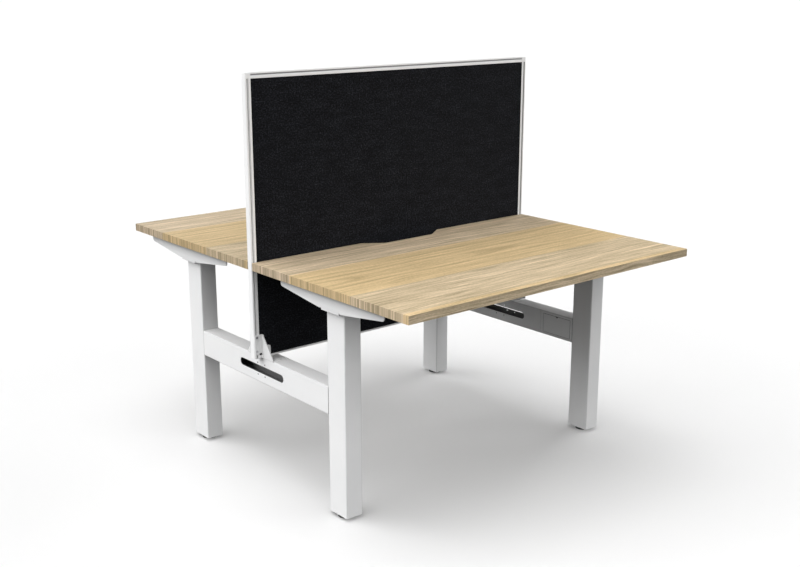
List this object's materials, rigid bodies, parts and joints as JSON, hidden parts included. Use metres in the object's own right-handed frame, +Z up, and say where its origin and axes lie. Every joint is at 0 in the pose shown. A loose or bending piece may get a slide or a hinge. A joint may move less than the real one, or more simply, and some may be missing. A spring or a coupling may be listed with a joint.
{
  "type": "back-to-back workstation",
  "caption": "Back-to-back sit-stand workstation: oak tops on lifting columns, shared slotted end rails and a fabric screen between.",
  "frame": {"origin": "on the floor, under the middle of the screen", "axes": "+X along the desks, +Y from the front desk to the rear desk, +Z up"},
  "size_m": [1.204, 1.526, 1.31],
  "materials": {
    "white_steel": "white satin powder coat",
    "screen_frame": "white satin powder coat",
    "oak_board": "pale oak melamine",
    "oak_edging": "pale oak edging",
    "screen_fabric": "near-black woven fabric",
    "core_board": "raw board",
    "black_plastic": "black moulded plastic",
    "grey_plastic": "grey moulded plastic",
    "black_metal": "black painted housing",
    "zinc_steel": "zinc plated",
    "bare_steel": "bright steel"
  },
  "bodies": {
    "base": {"front_left_outer_column": "white_steel", "front_right_outer_column": "white_steel", "rear_left_outer_column": "white_steel", "rear_right_outer_column": "white_steel", "left_end_rail": "white_steel", "right_end_rail": "white_steel", "rail_connectors": "zinc_steel", "frame_fasteners": "bare_steel", "column_end_inserts": "black_plastic", "upper_guide_sleeves": "black_plastic", "spindle_nut_posts": "bare_steel", "screen_left_profile": "screen_frame", "screen_right_profile": "screen_frame", "screen_top_profile": "screen_frame", "screen_bottom_profile": "screen_frame", "screen_corner_caps": "screen_frame", "screen_core_board": "core_board", "screen_fabric": "screen_fabric", "front_left_screen_bracket": "white_steel", "front_right_screen_bracket": "white_steel", "rear_left_screen_bracket": "white_steel", "rear_right_screen_bracket": "white_steel"},
    "front_left_foot": {"front_left_levelling_foot": "black_plastic"},
    "front_right_foot": {"front_right_levelling_foot": "black_plastic"},
    "rear_left_foot": {"rear_left_levelling_foot": "black_plastic"},
    "rear_right_foot": {"rear_right_levelling_foot": "black_plastic"},
    "front_left_cover": {"front_left_access_cover": "white_steel"},
    "front_right_cover": {"front_right_access_cover": "white_steel"},
    "rear_left_cover": {"rear_left_access_cover": "white_steel"},
    "rear_right_cover": {"rear_right_access_cover": "white_steel"},
    "front_desk": {"front_top": "oak_board", "front_top_edging": "oak_edging", "front_left_side_bracket": "white_steel", "front_right_side_bracket": "white_steel", "front_left_inner_column": "white_steel", "front_right_inner_column": "white_steel", "front_lower_glides": "black_plastic", "front_crossbars": "white_steel", "front_drive_units": "black_metal", "front_control_box": "black_plastic", "front_handset": "black_plastic", "front_desk_fasteners": "bare_steel"},
    "front_paddle_lever": {"front_paddle": "grey_plastic"},
    "rear_desk": {"rear_top": "oak_board", "rear_top_edging": "oak_edging", "rear_left_side_bracket": "white_steel", "rear_right_side_bracket": "white_steel", "rear_left_inner_column": "white_steel", "rear_right_inner_column": "white_steel", "rear_lower_glides": "black_plastic", "rear_crossbars": "white_steel", "rear_drive_units": "black_metal", "rear_control_box": "black_plastic", "rear_handset": "black_plastic", "rear_desk_fasteners": "bare_steel"},
    "rear_paddle_lever": {"rear_paddle": "grey_plastic"},
    "front_left_screw": {"front_left_spindle": "bare_steel"},
    "front_right_screw": {"front_right_spindle": "bare_steel"},
    "rear_left_screw": {"rear_left_spindle": "bare_steel"},
    "rear_right_screw": {"rear_right_spindle": "bare_steel"}
  },
  "joints": [
    {"name": "front_desk_lift", "type": "slide", "parent": "base", "child": "front_desk", "axis": [0, 0, 1], "range_m": [0, 0.48]},
    {"name": "rear_desk_lift", "type": "slide", "parent": "base", "child": "rear_desk", "axis": [0, 0, 1], "range_m": [0, 0.48]},
    {"name": "front_left_screw_turn", "type": "hinge", "parent": "front_desk", "child": "front_left_screw", "pos_m": [-0.541, -0.4035, 0.4], "axis": [0, 0, 1], "range_deg": [0, 21610]},
    {"name": "front_right_screw_turn", "type": "hinge", "parent": "front_desk", "child": "front_right_screw", "pos_m": [0.541, -0.4035, 0.4], "axis": [0, 0, 1], "range_deg": [0, 21610]},
    {"name": "rear_left_screw_turn", "type": "hinge", "parent": "rear_desk", "child": "rear_left_screw", "pos_m": [-0.541, 0.4035, 0.4], "axis": [0, 0, 1], "range_deg": [0, 21610]},
    {"name": "rear_right_screw_turn", "type": "hinge", "parent": "rear_desk", "child": "rear_right_screw", "pos_m": [0.541, 0.4035, 0.4], "axis": [0, 0, 1], "range_deg": [0, 21610]},
    {"name": "front_left_foot_adjust", "type": "slide", "parent": "base", "child": "front_left_foot", "axis": [0, 0, -1], "range_m": [0, 0.015]},
    {"name": "front_right_foot_adjust", "type": "slide", "parent": "base", "child": "front_right_foot", "axis": [0, 0, -1], "range_m": [0, 0.015]},
    {"name": "rear_left_foot_adjust", "type": "slide", "parent": "base", "child": "rear_left_foot", "axis": [0, 0, -1], "range_m": [0, 0.015]},
    {"name": "rear_right_foot_adjust", "type": "slide", "parent": "base", "child": "rear_right_foot", "axis": [0, 0, -1], "range_m": [0, 0.015]},
    {"name": "front_left_cover_pull", "type": "slide", "parent": "base", "child": "front_left_cover", "axis": [1, 0, 0], "range_m": [0, 0.03]},
    {"name": "front_right_cover_pull", "type": "slide", "parent": "base", "child": "front_right_cover", "axis": [-1, 0, 0], "range_m": [0, 0.03]},
    {"name": "rear_left_cover_pull", "type": "slide", "parent": "base", "child": "rear_left_cover", "axis": [1, 0, 0], "range_m": [0, 0.03]},
    {"name": "rear_right_cover_pull", "type": "slide", "parent": "base", "child": "rear_right_cover", "axis": [-1, 0, 0], "range_m": [0, 0.03]},
    {"name": "front_paddle_tilt", "type": "hinge", "parent": "front_desk", "child": "front_paddle_lever", "pos_m": [0.38, -0.692, 0.691], "axis": [-1, 0, 0], "range_deg": [-8, 8], "stiffness_Nm_per_rad": 0.25},
    {"name": "rear_paddle_tilt", "type": "hinge", "parent": "rear_desk", "child": "rear_paddle_lever", "pos_m": [-0.38, 0.692, 0.691], "axis": [1, 0, 0], "range_deg": [-8, 8], "stiffness_Nm_per_rad": 0.25}
  ],
  "couplings": [
    {"joint": "front_left_screw_turn", "follows": "front_desk_lift", "rad_per_m": 785.4},
    {"joint": "front_right_screw_turn", "follows": "front_desk_lift", "rad_per_m": 785.4},
    {"joint": "rear_left_screw_turn", "follows": "rear_desk_lift", "rad_per_m": 785.4},
    {"joint": "rear_right_screw_turn", "follows": "rear_desk_lift", "rad_per_m": 785.4}
  ]
}
